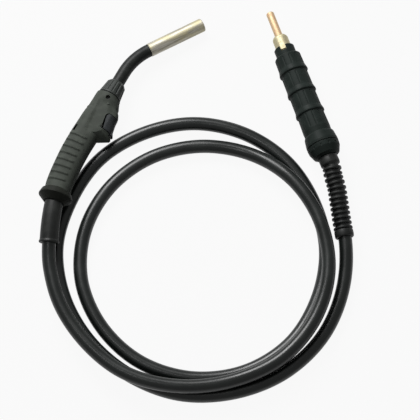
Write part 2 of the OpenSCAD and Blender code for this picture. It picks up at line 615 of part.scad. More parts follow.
module plug_collar() color([0.16, 0.18, 0.17]) at_plug() difference() {
    turned([[body_r + press, collar_start], [body_r + 2.6, collar_start], [body_r + 3.6, collar_start + 1.2],
        [body_r + 3.6, collar_start + collar_l], [body_r + press, collar_start + collar_l]]);
    rotate([0, 13, 0]) translate([-4.2, collar_start - 1, 0]) cube([8.4, 9.6, 30]);
}

function lip_at(k) = grip_start + 28 + k * (grip_end - grip_start - 28) / grip_lips;

// sawtooth outline of the grip: it swells towards each lip and falls back behind it
module plug_grip() color([0.18, 0.20, 0.19]) at_plug() difference() {
    turned(concat([[body_r + press, grip_start], [grip_r - 1.6, grip_start],
        [grip_r - 0.5, grip_start + 1.4]],
        [for (k = [0 : grip_lips - 1]) each [[grip_r, lip_at(k) - 8], [grip_lip_r, lip_at(k) - 1.6],
            [grip_lip_r, lip_at(k)], [grip_r - 0.3, lip_at(k) + 2]]],
        [[grip_r + 0.5, grip_end - 8], [grip_r, grip_end], [cable_r + 1.6 + cable_gap, grip_end],
        [cable_r + 1.6 + cable_gap, grip_end - 57.8], [body_r + press, grip_end - 57.8]]));
    for (k = [0 : grip_lips]) for (j = [0 : grip_flutes - 1])
        let (from = k == 0 ? grip_start + 4 : lip_at(k - 1) + 3,
            to = k < grip_lips ? lip_at(k) - 9 : grip_end - 10)
        rotate([0, 360 * j / grip_flutes, 0]) translate([grip_r + 2.5, from, 0])
            rotate([-90, 0, -1.6]) cylinder(r = 3.4, h = to - from, $fn = 24);
}

module plug_crimp() color([0.76, 0.72, 0.62]) at_plug()
    tube_y(cable_r + 1.6, cable_r + press, grip_end - 57.6, grip_end - 57.6 + crimp_l);

module plug_nut() color([0.17, 0.19, 0.18]) at_plug() difference() {
    turned([[cable_r + cable_gap + 0.3, nut_start], [rear_nut_d / 2 - 2.4, nut_start],
        [rear_nut_d / 2 - 1.4, nut_start + 2.5], [rear_nut_d / 2, nut_start + 13],
        [rear_nut_d / 2, nut_start + 16], [rear_nut_d / 2 - 1.1, nut_start + 16.6],
        [rear_nut_d / 2 - 1.1, nut_start + 17.6], [rear_nut_d / 2, nut_start + 18.2],
        [rear_nut_d / 2 - 0.6, nut_start + 24], [rear_nut_d / 2 - 4.4, nut_start + 33],
        [boot_r + 3.6, boot_start], [cable_r + cable_gap + 0.3, boot_start]]);
    for (k = [0 : 11]) rotate([0, 30 * k + 15, 0]) translate([rear_nut_d / 2 + 1.1, nut_start + 20.5, 0])
        rotate([-90, 0, 0]) cylinder(r = 2.2, h = 40, $fn = 24);
}

boot_line = along(concat([plug_point(boot_start + 0.3), plug_point(boot_start + boot_collar_l)],
    [for (i = [len(route_in_boot) - 1 : -1 : 0]) route_in_boot[i]]), 1);
boot_run = lengths(boot_line);
boot_l = boot_run[len(boot_run) - 1];
boot_pitch = (boot_l - boot_collar_l - cuff_l) / boot_ribs;

// where the boot is cut, and its radius there: a smooth collar, ribs, and a cuff
boot_cuts = concat([[0.2, boot_r + 2.7], [boot_collar_l - 2, boot_r + 2.7]],
    [for (k = [0 : boot_ribs - 1]) for (q = [[0, 0], [0.4, 0], [0.52, boot_rib_h], [0.86, boot_rib_h]])
        [boot_collar_l + (k + q[0]) * boot_pitch, boot_r + q[1]]],
    [[boot_l - cuff_l, boot_r], [boot_l - cuff_l + 1.5, boot_r + 2.5],
    [boot_l - 1, boot_r + 2.7], [boot_l, boot_r + 2]]);

module plug_boot() color([0.14, 0.15, 0.15])
    skin(hose(boot_line, boot_run, boot_cuts, cable_r + cable_gap + 0.35, 12), true);

gas_nozzle();
nozzle_insulator();
nozzle_clip();
gas_diffuser();
contact_tip();
neck_conductor();
neck_jacket();
wire_liner();
neck_nut();
neck_set_screw();
handle_upper();
handle_lower();
trigger();
trigger_pin();
switch_body();
switch_plunger();
switch_terminals();
switch_wires();
power_connector();
cable_crimp();
locking_ring();
cable_sleeve();
cable();
plug_pin();
plug_body();
plug_collar();
plug_grip();
plug_crimp();
plug_nut();
plug_boot();
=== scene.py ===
"""A MIG welding torch with its coiled cable and plug, lying on a pale floor."""
from math import acos, cos, pi, radians, sin, sqrt

import bmesh
import bpy
from mathutils import Matrix, Vector


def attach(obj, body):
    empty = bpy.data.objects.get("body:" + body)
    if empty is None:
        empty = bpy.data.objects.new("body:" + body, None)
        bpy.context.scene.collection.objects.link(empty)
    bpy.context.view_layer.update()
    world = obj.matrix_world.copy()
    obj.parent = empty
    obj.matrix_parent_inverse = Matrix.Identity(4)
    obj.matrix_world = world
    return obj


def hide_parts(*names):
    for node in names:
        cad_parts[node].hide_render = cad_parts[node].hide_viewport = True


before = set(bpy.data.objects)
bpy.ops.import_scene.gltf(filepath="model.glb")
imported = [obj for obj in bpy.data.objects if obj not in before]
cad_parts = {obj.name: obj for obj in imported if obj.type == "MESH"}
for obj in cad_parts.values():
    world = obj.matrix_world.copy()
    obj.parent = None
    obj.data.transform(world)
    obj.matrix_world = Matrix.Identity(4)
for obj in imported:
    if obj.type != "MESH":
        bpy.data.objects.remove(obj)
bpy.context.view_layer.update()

# Lengths in this script are millimetres; they become metres in the meshes.
MM = 0.001
scene = bpy.context.scene
UP = Vector((0, 0, 1))

# ---------------------------------------------------------------- where the parts lie

TORCH = Matrix.Translation((-24, -139.8, 39.5357)) @ Matrix.Rotation(radians(-4.9), 4, "X")
PLUG = (Matrix.Translation((121.9, 262.9, 19.6)) @ Matrix.Rotation(radians(-134), 4, "Z")
        @ Matrix.Rotation(radians(1.26), 4, "X"))
NECK_TURN = radians(33)
NECK_END = Vector((92 * (1 - cos(NECK_TURN)), 220 + 92 * sin(NECK_TURN), 0))
NOZZLE = TORCH @ Matrix.Translation(NECK_END) @ Matrix.Rotation(-NECK_TURN, 4, "Z")
REAR_TURN = radians(12.5)
REAR = TORCH @ Matrix.Translation((8.6, 0, 0)) @ Matrix.Rotation(REAR_TURN, 4, "Z")


def in_torch(x, y, z=0):
    return TORCH @ Vector((x, y, z))


def on_plug(s):
    return PLUG @ Vector((0, s, 0))


# ---------------------------------------------------------------- camera and light

def aim(thing, target):
    thing.rotation_euler = (Vector(target) - thing.location).to_track_quat("-Z", "Y").to_euler()


def camera():
    lens = bpy.data.cameras.new("camera")
    lens.lens = 144.9
    lens.sensor_width = 36
    lens.clip_end = 20
    eye = bpy.data.objects.new("camera", lens)
    scene.collection.objects.link(eye)
    eye.location = (0.5554, -0.7820, 2.2673)
    aim(eye, (0.182783, -0.050649, 0.012))
    scene.camera = eye


def lamp(name, place, width, watts):
    """A square white lamp that looks at the middle of the coil."""
    light = bpy.data.lights.new(name, "AREA")
    light.shape = "RECTANGLE"
    light.size = light.size_y = width
    light.energy = watts
    stand = bpy.data.objects.new(name, light)
    scene.collection.objects.link(stand)
    stand.location = place
    aim(stand, (0.15, -0.05, 0))


def surroundings():
    """White air: the eye sees it white, mirrors see it grey, and it lights the object only faintly."""
    world = bpy.data.worlds.new("studio")
    scene.world = world
    world.use_nodes = True
    air = world.node_tree
    sky = air.nodes["Background"]
    sky.inputs["Color"].default_value = (1, 1, 1, 1)
    rays = air.nodes.new("ShaderNodeLightPath")
    strength = None
    for ray, more in (("Is Glossy Ray", 0.30), ("Is Camera Ray", 0.85)):
        total = air.nodes.new("ShaderNodeMath")
        total.operation = "MULTIPLY_ADD"
        air.links.new(rays.outputs[ray], total.inputs[0])
        total.inputs[1].default_value = more
        if strength is None:
            total.inputs[2].default_value = 0.10
        else:
            air.links.new(strength, total.inputs[2])
        strength = total.outputs[0]
    air.links.new(strength, sky.inputs["Strength"])


# ---------------------------------------------------------------- finishes

class Amount:
    """A number that changes over a surface: arithmetic on it adds Math nodes."""

    def __init__(self, finish, socket):
        self.finish = finish
        self.socket = socket

    def joined(self, operation, a, b):
        return self.finish.node("ShaderNodeMath", {"operation": operation}, {0: a, 1: b})

    def __add__(self, other):
        return self.joined("ADD", self, other)

    def __sub__(self, other):
        return self.joined("SUBTRACT", self, other)

    def __rsub__(self, other):
        return self.joined("SUBTRACT", other, self)

    def __mul__(self, other):
        return self.joined("MULTIPLY", self, other)

    __radd__ = __add__
    __rmul__ = __mul__


class Finish:
    """A material whose nodes are made one after another."""

    def __init__(self, name):
        self.material = bpy.data.materials.new(name)
        self.material.use_nodes = True
        self.nodes = self.material.node_tree.nodes
        self.nodes.clear()
        self.place = None

    def node(self, kind, settings, inputs, output=0):
        made = self.nodes.new(kind)
        for name, setting in settings.items():
            setattr(made, name, setting)
        for name, value in inputs.items():
            if isinstance(value, Amount):
                self.material.node_tree.links.new(value.socket, made.inputs[name])
            elif isinstance(value, tuple) and made.inputs[name].type == "RGBA":
                made.inputs[name].default_value = (*value, 1)
            else:
                made.inputs[name].default_value = value
        return Amount(self, made.outputs[output])

    def spot(self):
        """The point on the surface, in metres."""
        if self.place is None:
            self.place = self.node("ShaderNodeTexCoord", {}, {}, "Object")
        return self.place

    def stretched(self, lie, stretch):
        """The point in the frame of a part, with its x, y and z drawn out or pressed together."""
        back = (Matrix.Diagonal((*stretch, 1)) @ lie.inverted()).to_3x3()
        rows = [self.node("ShaderNodeVectorMath", {"operation": "DOT_PRODUCT"},
                          {0: self.spot(), 1: tuple(row)}, "Value") for row in back]
        return self.node("ShaderNodeCombineXYZ", {}, dict(zip("XYZ", rows)))

    def cloud(self, size, detail, place=None):
        """Noise from 0 to 1 whose spots are about size millimetres across."""
        return self.node("ShaderNodeTexNoise", {}, {
            "Vector": place or self.spot(), "Scale": 1 / (size * MM), "Detail": detail}, "Fac")

    def step(self, value, low, high):
        """0 where value is below low, 1 where it is above high, and smooth between."""
        return self.node("ShaderNodeMapRange", {"interpolation_type": "SMOOTHSTEP"}, {
            "Value": value, "From Min": low, "From Max": high})

    def along(self, lie):
        """Distance along +Y of a part's own frame, in millimetres."""
        y = lie.to_3x3() @ Vector((0, 1, 0))
        start = lie.translation.dot(y)
        return (self.node("ShaderNodeVectorMath", {"operation": "DOT_PRODUCT"},
                          {0: self.spot(), 1: tuple(y)}, "Value") - start * MM) * (1 / MM)

    def edges(self, radius):
        """1 on sharp edges, 0 on flats."""
        bevel = self.node("ShaderNodeBevel", {"samples": 6}, {"Radius": radius * MM})
        flat = self.node("ShaderNodeNewGeometry", {}, {}, "Normal")
        same = self.node("ShaderNodeVectorMath", {"operation": "DOT_PRODUCT"},
                         {0: bevel, 1: flat}, "Value")
        return self.step(1 - same, 0.02, 0.2)

    def mixed(self, mask, a, b):
        """Colour a where the mask is 0 and b where it is 1."""
        return self.node("ShaderNodeMix", {"data_type": "RGBA"}, {0: mask, 6: a, 7: b}, 2)

    def relief(self, height, depth):
        """Bumps: height from 0 to 1 stands for depth millimetres."""
        return self.node("ShaderNodeBump", {}, {
            "Height": height, "Distance": depth * MM, "Strength": 1.0}, "Normal")

    def done(self, **sockets):
        shader = self.node("ShaderNodeBsdfPrincipled", {}, {
            name.replace("_", " "): value for name, value in sockets.items()})
        return self.shown(shader)

    def shown(self, shader):
        out = self.nodes.new("ShaderNodeOutputMaterial")
        self.material.node_tree.links.new(shader.socket, out.inputs["Surface"])
        return self.material


def moulded_plastic(name, colour, worn, rough=0.56, depth=0.035, shine=0.06):
    """Spark-textured moulding: fine grain, cloudy gloss, edges rubbed a little lighter."""
    f = Finish(name)
    grit = f.cloud(0.55, 2)
    rubbed = f.cloud(9, 4)
    base = f.mixed(f.step(rubbed, 0.35, 0.75), colour, tuple(c * 1.28 for c in colour))
    base = f.mixed(f.edges(0.6) * 0.5, base, worn)
    return f.done(Base_Color=base, Roughness=f.step(rubbed, 0.2, 0.8) * 0.12 + (rough - 0.06),
                  Normal=f.relief(grit, depth), Specular_IOR_Level=shine)


def cable_rubber():
    """Extruded rubber jacket: satin black, with faint draw lines along it and dust in patches."""
    f = Finish("cable rubber")
    lie = f.node("ShaderNodeUVMap", {"uv_map": "round and along"}, {})
    drawn = f.node("ShaderNodeTexNoise", {}, {
        "Vector": f.node("ShaderNodeVectorMath", {"operation": "MULTIPLY"},
                         {0: lie, 1: (60, 3, 1)}),
        "Scale": 1.0, "Detail": 2.0}, "Fac")
    dust = f.cloud(38, 5)
    base = f.mixed(f.step(dust, 0.45, 0.75) * 0.6,
                   (0.0060, 0.0080, 0.0072), (0.0135, 0.0170, 0.0155))
    return f.done(Base_Color=base, Specular_IOR_Level=0.42,
                  Roughness=f.step(dust, 0.3, 0.8) * 0.12 + 0.26 + drawn * 0.05,
                  Normal=f.relief(drawn * 0.6 + f.cloud(0.8, 2) * 0.4, 0.03))


def soft_rubber():
    """Matt moulded rubber of the bend relief and the sleeve."""
    f = Finish("soft rubber")
    dust = f.cloud(14, 4)
    base = f.mixed(f.step(dust, 0.4, 0.75), (0.0105, 0.0115, 0.0110), (0.0200, 0.0215, 0.0200))
    base = f.mixed(f.edges(0.5) * 0.35, base, (0.045, 0.048, 0.045))
    return f.done(Base_Color=base, Roughness=f.step(dust, 0.3, 0.8) * 0.15 + 0.42,
                  Normal=f.relief(f.cloud(0.7, 2), 0.05), Specular_IOR_Level=0.25)


def neck_coating():
    """Smooth black coating over the neck tube, a little uneven from dipping."""
    f = Finish("neck coating")
    wave = f.cloud(11, 3)
    base = f.mixed(f.step(wave, 0.4, 0.7), (0.012, 0.0135, 0.0125), (0.020, 0.022, 0.020))
    return f.done(Base_Color=base, Specular_IOR_Level=0.15,
                  Roughness=f.step(f.cloud(4, 4), 0.3, 0.8) * 0.08 + 0.42,
                  Normal=f.relief(wave * 0.7 + f.cloud(1.2, 2) * 0.3, 0.02))


def nickelled_nozzle():
    """Satin nickel over brass, drawn along its length, with yellow heat tints in clouds."""
    f = Finish("nickelled nozzle")
    drawn = f.cloud(4, 4, f.stretched(NOZZLE, (1.6, 0.08, 1.6)))
    tint = f.cloud(12, 4, f.stretched(NOZZLE, (1, 0.35, 1)))
    base = f.mixed(f.step(drawn, 0.4, 0.6), (0.52, 0.50, 0.44), (0.34, 0.32, 0.26))
    base = f.mixed(f.step(tint, 0.46, 0.62) * 0.8, base, (0.46, 0.42, 0.26))
    base = f.mixed(f.step(f.along(NOZZLE), 84, 91) * 0.5, base, (0.42, 0.39, 0.33))
    return f.done(Base_Color=base, Metallic=1.0, Roughness=drawn * 0.12 + 0.56,
                  Normal=f.relief(drawn, 0.02))


def bare_metal(name, colour, stain, rough, lie=TORCH):
    """Turned metal with a film of tarnish in clouds."""
    f = Finish(name)
    rings = f.cloud(1, 2, f.stretched(lie, (0.05, 3.0, 0.05)))
    film = f.cloud(5, 4)
    base = f.mixed(f.step(film, 0.42, 0.72), colour, stain)
    return f.done(Base_Color=base, Metallic=1.0, Normal=f.relief(rings, 0.01),
                  Roughness=f.step(film, 0.3, 0.8) * 0.16 + rings * 0.08 + rough)


def fired_ceramic():
    """Cream ceramic with fine darker specks."""
    f = Finish("nozzle insulator")
    speck = f.cloud(0.9, 3)
    base = f.mixed(f.step(speck, 0.5, 0.8), (0.66, 0.62, 0.53), (0.48, 0.43, 0.34))
    return f.done(Base_Color=base, Roughness=speck * 0.2 + 0.45, Normal=f.relief(speck, 0.03))


def floor_finish():
    """White paper: the eye and mirrors see it white, with a soft shadow left in it."""
    f = Finish("floor paper")
    eye = f.node("ShaderNodeLightPath", {}, {}, "Is Camera Ray")
    rays = eye.socket.node.outputs
    seen = eye + Amount(f, rays["Is Glossy Ray"]) + Amount(f, rays["Is Transmission Ray"])
    seen = f.node("ShaderNodeMath", {"operation": "MINIMUM"}, {0: seen, 1: 1.0}) * 0.93
    fibre = f.cloud(3, 3) * 0.02 + 0.36
    grey = f.node("ShaderNodeCombineColor", {}, {"Red": fibre, "Green": fibre, "Blue": fibre})
    paper = f.node("ShaderNodeBsdfDiffuse", {}, {"Color": grey})
    glow = f.node("ShaderNodeEmission", {}, {"Color": (1, 1, 1), "Strength": 1.0})
    return f.shown(f.node("ShaderNodeMixShader", {}, {0: seen, 1: paper, 2: glow}))


# ---------------------------------------------------------------- shapes

def shape(name, points, faces, lie=Matrix.Identity(4)):
    """A mesh from points in millimetres."""
    mesh = bpy.data.meshes.new(name)
    mesh.from_pydata([(lie @ Vector(p)) * MM for p in points], [], faces)
    mesh.update()
    made = bpy.data.objects.new(name, mesh)
    scene.collection.objects.link(made)
    return made


def skin(name, rings, closed=False, lie=Matrix.Identity(4)):
    """A closed skin over rings of points; closed joins the last ring to the first."""
    n, count = len(rings[0]), len(rings)
    faces = []
    for i in range(count if closed else count - 1):
        here, there = i * n, (i + 1) % count * n
        faces += [[here + j, here + (j + 1) % n, there + (j + 1) % n, there + j] for j in range(n)]
    if not closed:
        faces += [list(range(n))[::-1], list(range((count - 1) * n, count * n))]
    return outward(shape(name, [p for ring in rings for p in ring], faces, lie))


def outward(piece):
    """Turns all faces to the outside."""
    work = bmesh.new()
    work.from_mesh(piece.data)
    bmesh.ops.recalc_face_normals(work, faces=work.faces)
    work.to_mesh(piece.data)
    work.free()
    return piece


def prism(name, outline, low, high):
    """An outline in the torch's own plane, raised from low to high."""
    n = len(outline)
    sides = [[i, (i + 1) % n, n + (i + 1) % n, n + i] for i in range(n)]
    return outward(shape(name, [(*p, low) for p in outline] + [(*p, high) for p in outline],
                         [list(range(n)), list(range(n, 2 * n))] + sides, TORCH))


def circle(x, y, r, sides):
    """Points of an outline round x, y."""
    return [(x + r * cos(2 * pi * k / sides), y + r * sin(2 * pi * k / sides)) for k in range(sides)]


def hull(name, points):
    """The smallest convex body round points in the torch's own frame."""
    work = bmesh.new()
    for p in points:
        work.verts.new((TORCH @ Vector(p)) * MM)
    bmesh.ops.convex_hull(work, input=work.verts)
    bmesh.ops.delete(work, geom=[v for v in work.verts if not v.link_faces], context="VERTS")
    bmesh.ops.dissolve_limit(work, angle_limit=radians(1), verts=work.verts, edges=work.edges)
    bmesh.ops.recalc_face_normals(work, faces=work.faces)
    mesh = bpy.data.meshes.new(name)
    work.to_mesh(mesh)
    work.free()
    made = bpy.data.objects.new(name, mesh)
    scene.collection.objects.link(made)
    return made


def rounded(piece, width, angle=25):
    """Rounds the edges that turn by more than the angle."""
    return applied(piece, "BEVEL", width=width * MM, segments=3, limit_method="ANGLE",
                   angle_limit=radians(angle), use_clamp_overlap=True)


def applied(piece, kind, **settings):
    """Puts the result of one modifier into the piece's own mesh."""
    tool = piece.modifiers.new(kind, kind)
    for name, value in settings.items():
        setattr(tool, name, value)
    result = piece.evaluated_get(bpy.context.evaluated_depsgraph_get())
    mesh = bpy.data.meshes.new_from_object(result)
    piece.modifiers.clear()
    piece.data = mesh
    return piece


def combined(piece, others, how):
    """Adds the other bodies to the piece, or cuts them out of it."""
    for other in others:
        applied(piece, "BOOLEAN", operation=how, solver="EXACT", object=other)
        bpy.data.objects.remove(other)
    return piece


def cut(piece, *others):
    return combined(piece, others, "DIFFERENCE")


def united(piece, *others):
    return combined(piece, others, "UNION")


def merged(piece, *others):
    """Puts separate bodies into one mesh, each as it is."""
    work = bmesh.new()
    for one in (piece, *others):
        work.from_mesh(one.data)
    work.to_mesh(piece.data)
    work.free()
    for other in others:
        bpy.data.objects.remove(other)
    return piece


def finished(piece, finish, body="torch", stands_for=(), sharp=35):
    """Smooths the piece, gives it its finish and its body, and hides the solids it stands for."""
    piece.data.materials.clear()
    piece.data.materials.append(finish)
    piece.data.shade_smooth()
    piece.data.set_sharp_from_angle(angle=radians(sharp))
    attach(piece, body)
    if stands_for:
        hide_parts(*stands_for)
    return piece


# ---------------------------------------------------------------- lines

def slope(p, i):
    """Direction of the smooth curve at point i."""
    if i == 0 or i == len(p) - 1:
        return (p[max(i, 1)] - p[max(i, 1) - 1]).normalized()
    a, b = p[i] - p[i - 1], p[i + 1] - p[i]
    return (b.normalized() * a.length + a.normalized() * b.length) / (a.length + b.length)


def between(p, i, t):
    """Point of the smooth curve at the share t of the way from point i to the next."""
    chord = (p[i + 1] - p[i]).length
    return ((1 + 2 * t) * (1 - t) ** 2 * p[i] + t * (1 - t) ** 2 * chord * slope(p, i)
            + t * t * (3 - 2 * t) * p[i + 1] + t * t * (t - 1) * chord * slope(p, i + 1))


def smooth_line(p, step):
    """Points about step apart on the smooth curve through p."""
    line = []
    for i in range(len(p) - 1):
        n = max(1, round((p[i + 1] - p[i]).length / step))
        line += [between(p, i, k / n) for k in range(n)]
    return line + [p[-1]]


def running(line):
    """Length of the line up to each of its points."""
    run = [0.0]
    for a, b in zip(line, line[1:]):
        run.append(run[-1] + (b - a).length)
    return run


def point_at(line, run, s):
    """Point at the distance s along the line."""
    i = max([k for k in range(len(run) - 1) if run[k] <= s], default=0)
    return line[i].lerp(line[i + 1], (s - run[i]) / (run[i + 1] - run[i]))


def frames(line):
    """The point, the sideways and the upward direction at every point of the line."""
    made = []
    for i, p in enumerate(line):
        t = (line[min(i + 1, len(line) - 1)] - line[max(i - 1, 0)]).normalized()
        side = t.cross(UP).normalized()
        made.append((p, side, side.cross(t)))
    return made


def ring(frame_here, radius, sides):
    """Points round the line; radius is a number, or a function of the angle."""
    p, side, up = frame_here
    made = []
    for k in range(sides):
        a = 2 * pi * k / sides - pi / 2
        r = radius(a) if callable(radius) else radius
        made.append(p + side * r * cos(a) + up * r * sin(a))
    return made


def hose(name, line, rows, bore, sides):
    """A hose along the line: outside by (distance, radius) rows, and back along its bore."""
    run = running(line)
    cuts = [point_at(line, run, min(s, run[-1])) for s, _ in rows]
    rings = [ring(f, r, sides) for f, (_, r) in zip(frames(cuts), rows)]
    bore_cuts = 24
    inside = frames([point_at(line, run, run[-1] * k / bore_cuts) for k in range(bore_cuts + 1)])
    return skin(name, rings + [ring(f, bore, sides) for f in inside[::-1]], True)


# ---------------------------------------------------------------- the cable

CABLE_R = 9.7
FREE_FROM = 24  # the free cable starts this far inside the handle
MAP_LENGTH = 60
ROUTE_IN_TORCH = [
    (0, 84, 0), (0, 75, 0), (0, 66, 0), (1.1, 50, 0), (2.9, 33, 0), (5.3, 16, 0), (8.6, 0, 0),
    (15.2, -21.7, -1.3), (23.3, -42.9, -4.9), (32.4, -63.3, -10.2)]
ROUTE_ON_FLOOR = [
    (20.5, -226, 29.1), (36, -246, 28.7), (53.5, -264.5, 28.8), (116, -303, 29), (189.5, -319, 30),
    (261.5, -303, 29.6), (323.5, -263, 27.8), (369.5, -204.5, 28), (386.5, -132.5, 28.8),
    (372.5, -59, 30.1), (329.5, 0.5, 30.1), (267, 39.5, 25.7), (196.5, 51.5, 12.9), (125.5, 30.5, 10),
    (70.5, -17, 9.7), (39.5, -84, 9.7), (39, -157.5, 9.7), (70, -225.5, 9.7), (127, -272, 9.7),
    (198, -292, 9.7), (271, -280, 9.7), (332, -239, 9.7), (370, -175, 9.7), (376, -101.5, 9.7),
    (356, -31.5, 9.7), (310.5, 26, 9.7), (247.5, 65.5, 9.7), (174, 77, 9.7), (103, 59, 9.7),
    (44.5, 12.5, 9.7), (7, -51, 9.7), (-0.7, -125, 9.7), (15, -197, 9.7), (58, -256, 9.7),
    (120, -297, 9.7), (193, -315, 9.7), (266.5, -307.5, 9.7), (331.5, -272, 9.7),
    (380.5, -216.5, 9.7), (405.5, -146.5, 9.8), (401.5, -72, 10.2)]
ROUTE_IN_BOOT = [(374.2, -6.2, 14.6), (356.3, 18.9, 16.6), (342.4, 39, 19.4),
                 (328.4, 58.9, 22.4), (317.7, 70.9, 23.9)]
BOOT_START = 245
BOOT_STRAIGHT = 17
ROUTE = ([in_torch(*p) for p in ROUTE_IN_TORCH]
         + [Vector(p) for p in ROUTE_ON_FLOOR + ROUTE_IN_BOOT]
         + [on_plug(BOOT_START + s) for s in (BOOT_STRAIGHT, 0, -22, -44, -62, -80)])


def cable_tube(name, line, finish):
    """A round tube with a map that runs round it and along it."""
    sides = 28
    tube = skin(name, [ring(f, CABLE_R, sides) for f in frames(line)])
    run = running(line)
    chart = tube.data.uv_layers.new(name="round and along")
    corners = tube.data.loops
    for face in tube.data.polygons:
        seam = any(corners[i].vertex_index % sides == sides - 1 for i in face.loop_indices)
        for i in face.loop_indices:
            v = corners[i].vertex_index
            k = v % sides
            u = 1.0 if k == 0 and seam else k / sides
            chart.data[i].uv = (u, run[v // sides] / MAP_LENGTH)
    return finished(tube, finish, sharp=60)


def cable(finish):
    """The free cable, from just inside the handle to the plug's crimp, and its end in the handle."""
    whole = smooth_line(ROUTE, 6)
    leaves = next(i for i, p in enumerate(whole) if (TORCH.inverted() @ p).y < FREE_FROM)
    lying = whole[leaves:]
    free = cable_tube("cable_jacket", lying, finish)
    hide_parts("cable")
    in_handle = whole[:leaves] + [whole[leaves - 1].lerp(whole[leaves], 0.95)]
    inner = cable_tube("cable_end", in_handle, finish)
    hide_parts("cable")
    return free, lying


# ---------------------------------------------------------------- the handle

HANDLE_L = 173
WALL = 2.5
# distance from the rear end, side step of the axis, half width, half thickness, roundness
STATIONS = [
    (0, 8.6, 18.8, 18.8, 2), (10, 6.4, 18.8, 17.8, 2.1), (19.6, 4.2, 19, 16.2, 2.3),
    (41.16, 1.3, 19.3, 15.8, 2.4), (70.56, -1.2, 19.6, 15.8, 2.4), (98, -1.6, 19.9, 15.8, 2.4),
    (112, -0.9, 20.4, 16.4, 2.3), (124, 1.2, 22.4, 17.6, 2.3), (134, 3.2, 24, 17.9, 2.2),
    (144, 5.2, 25.4, 18, 2.15), (151, 3.2, 23.2, 18, 2.1), (159, 1.4, 20.9, 17.8, 2.1),
    (168, -0.1, 19.1, 17.6, 2), (173, -0.3, 18.5, 17.3, 2), (178, -0.3, 18.5, 17.3, 2)]
RIB_FIRST, RIB_PITCH, RIB_COUNT, RIB_H, RIB_REAR, RIB_FRONT = 20, 10.5, 8, 1.7, 2.8, 3.8
RIB_ANGLES = (62, 156)  # degrees round the grip between which the ribs show
# the flat panel's height and ends, and the slope of the facet beside it
PANEL_Z, PANEL_LOW, PANEL_HIGH, FACET_SLOPE = 15, 99, 166, 0.45
# the waist on the trigger's side: its depth, its middle and its half length
WAIST, WAIST_Y, WAIST_HALF = 2.6, 149, 9
# the trigger's opening: its left side, how far that leans, its ends and its corner
SLOT_X, SLOT_LEAN, SLOT_LOW, SLOT_HIGH, SLOT_ROUND = 13.2, 3.4, 118.6, 145, 6
PIVOT = (17, 150.5)
PRESS = sin(radians(4))
SCREW = (3, 165.6)
NUB = (7.6, 157.1)
SWITCH_PEGS = ((8, 113.5), (8, 127.5))


def looked_up(x, rows, k):
    """Value k at x in rows of numbers, smoothly joined."""
    i = max([j for j in range(len(rows) - 1) if x >= rows[j][0]], default=0)
    d = rows[i + 1][0] - rows[i][0]
    t = min(1, max(0, (x - rows[i][0]) / d))
    a, b = rows[max(i - 1, 0)], rows[min(i + 2, len(rows) - 1)]
    m0 = (rows[i + 1][k] - a[k]) / (rows[i + 1][0] - a[0]) * d
    m1 = (b[k] - rows[i][k]) / (b[0] - rows[i][0]) * d
    return ((1 + 2 * t) * (1 - t) ** 2 * rows[i][k] + t * (1 - t) ** 2 * m0
            + t * t * (3 - 2 * t) * rows[i + 1][k] + t * t * (t - 1) * m1)


def ease(t):
    """0 up to t = 0, 1 from t = 1, and smooth between."""
    t = min(1, max(0, t))
    return t * t * (3 - 2 * t)


def axis_x(y):
    """Side step of the handle's axis."""
    return looked_up(y, STATIONS, 1)


def rib_bump(y, a):
    """Height of the grip's ribs at y and at angle a, in degrees, round the grip."""
    k = round((y - RIB_FIRST - 1) / RIB_PITCH)
    off = y - RIB_FIRST - k * RIB_PITCH
    if not 0 <= k < RIB_COUNT:
        return 0
    flank = 1 - ease(max(-off / RIB_REAR, off / RIB_FRONT))
    return RIB_H * flank * ease((a - RIB_ANGLES[0]) / 14) * ease((RIB_ANGLES[1] - a) / 14)


def panel_top(x, y, z):
    """Height of the handle's skin, pressed down to the flat panel and the facet by the trigger."""
    fade = ease((y - PANEL_LOW) / 7) * ease((PANEL_HIGH - y) / 12)
    if fade == 0:
        return z
    left, blend = 1.5 - (y - 103) * 0.125, 9
    t = min(1, max(0, (x - left + blend) / blend))
    crease = 12.6 - (y - 148) * 0.45
    beyond = max(0, x - crease) if y > SLOT_HIGH else 0
    level = min(z, PANEL_Z - FACET_SLOPE * beyond)
    return z + (level - z) * t * t * fade


def skin_point(y, a, pulled_in):
    """Point of the handle's section at y and angle a, in degrees, pulled in from the outside."""
    n = 2 / looked_up(y, STATIONS, 4)
    lo, hi = max(0, y - 0.5), min(HANDLE_L, y + 0.5)
    s = (axis_x(hi) - axis_x(lo)) / (hi - lo)
    tall = sqrt(1 + s * s)
    out = (rib_bump(y, a) if pulled_in == 0 else 0) - pulled_in
    c = cos(radians(a))
    waist = WAIST * ease(1 - abs(y - WAIST_Y) / WAIST_HALF) if c > 0 else 0
    x = (looked_up(y, STATIONS, 2) - waist + out) * (1 if c > 0 else -1) * abs(c) ** n
    z = (looked_up(y, STATIONS, 3) + out) * abs(sin(radians(a))) ** n
    x, y = axis_x(y) + x / tall, y - x * s / tall
    return x, y, panel_top(x, y, z + pulled_in) - pulled_in


def half_turned(name, profile, lie, sign):
    """Half of a turned part, on the upper or lower side of the parting line."""
    rings = [[(r * cos(pi * k / 40), y, sign * r * sin(pi * k / 40)) for r, y in profile]
             for k in range(41)]
    return skin(name, rings, False, lie)


def slot_left(y):
    """Left side of the trigger's opening."""
    corner = SLOT_HIGH - SLOT_ROUND
    if y > corner:
        return SLOT_X + SLOT_ROUND - sqrt(max(0, SLOT_ROUND ** 2 - (y - corner) ** 2))
    return SLOT_X + SLOT_LEAN * (corner - y) / (corner - SLOT_LOW)


def slot_outline():
    """Outline of the trigger's opening, carried on beyond the handle's right side."""
    arc = [SLOT_HIGH - SLOT_ROUND * (1 - sin(pi / 2 * k / 10)) for k in range(11)]
    beyond = 45
    return [(slot_left(SLOT_LOW), SLOT_LOW), *((slot_left(y) - 0.03, y) for y in arc),
            (beyond, SLOT_HIGH), (beyond, SLOT_LOW)]


